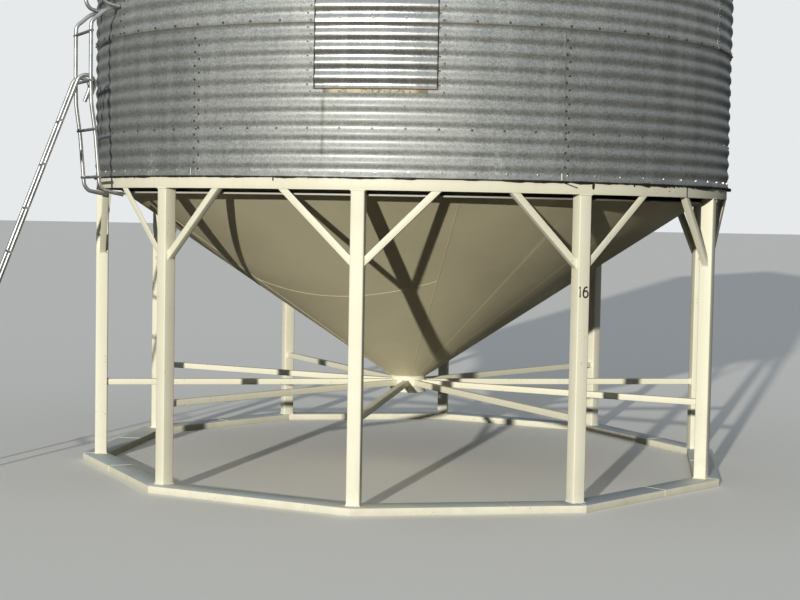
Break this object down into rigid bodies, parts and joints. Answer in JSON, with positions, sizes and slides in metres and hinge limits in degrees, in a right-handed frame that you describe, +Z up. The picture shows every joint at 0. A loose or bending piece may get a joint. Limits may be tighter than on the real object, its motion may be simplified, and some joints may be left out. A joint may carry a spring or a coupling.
{
  "type": "grain silo",
  "caption": "Round corrugated steel grain bin on legs over a smooth steel hopper, with a base ring of channel, a conical ribbed roof, wall and roof ladders and a hooked-on ladder.",
  "frame": {"origin": "middle of the footprint on the ground; the bin's axis is at x = 0.540 m, y = 0, because the hooked-on ladder stands out on the -X side", "axes": "+Z up, along the bin's axis; -Y is the side with the cover panel"},
  "size_m": [6.7196, 5.64, 9.6463],
  "materials": {
    "frame_paint": "cream enamel on steel, dusty, with small rust marks",
    "base_paint": "cream enamel with worn blue-grey, dusty top face",
    "hopper_paint": "cream enamel over welded steel, dulled by dust",
    "zinc_sheet": "weathered galvanised sheet with spangle",
    "bright_sheet": "newer, brighter galvanised sheet with a rusty rim",
    "zinc_tube": "galvanised tube"
  },
  "bodies": {
    "root": {"base_rail_01": "base_paint", "base_rail_02": "base_paint", "base_rail_03": "base_paint", "base_rail_04": "base_paint", "base_rail_05": "base_paint", "base_rail_06": "base_paint", "base_rail_07": "base_paint", "base_rail_08": "base_paint", "base_rail_09": "base_paint", "base_rail_10": "base_paint", "leg_01": "frame_paint", "leg_02": "frame_paint", "leg_03": "frame_paint", "leg_04": "frame_paint", "leg_05": "frame_paint", "leg_06": "frame_paint", "leg_07": "frame_paint", "leg_08": "frame_paint", "leg_09": "frame_paint", "leg_10": "frame_paint", "tie_strut_01": "frame_paint", "tie_strut_02": "frame_paint", "tie_strut_03": "frame_paint", "tie_strut_04": "frame_paint", "tie_strut_05": "frame_paint", "tie_strut_06": "frame_paint", "tie_strut_07": "frame_paint", "tie_strut_08": "frame_paint", "tie_strut_09": "frame_paint", "tie_strut_10": "frame_paint", "ring_beam_front": "frame_paint", "ring_beam_back": "frame_paint", "hopper_gore_01": "hopper_paint", "hopper_gore_02": "hopper_paint", "hopper_gore_03": "hopper_paint", "hopper_gore_04": "hopper_paint", "hopper_gore_05": "hopper_paint", "outlet_collar": "frame_paint", "wall_segment_01": "zinc_sheet", "wall_segment_02": "zinc_sheet", "wall_segment_03": "zinc_sheet", "wall_segment_04": "zinc_sheet", "wall_segment_05": "zinc_sheet", "wall_segment_06": "zinc_sheet", "cover_panel": "bright_sheet", "roof_gore_01": "zinc_sheet", "roof_gore_02": "zinc_sheet", "roof_gore_03": "zinc_sheet", "roof_collar": "zinc_sheet", "fill_lid": "zinc_sheet", "wall_ladder_01": "zinc_tube", "wall_ladder_02": "zinc_tube", "wall_ladder_03": "zinc_tube", "wall_ladder_04": "zinc_tube", "hook_ladder": "zinc_tube", "roof_ladder": "zinc_tube"}
  },
  "joints": []
}
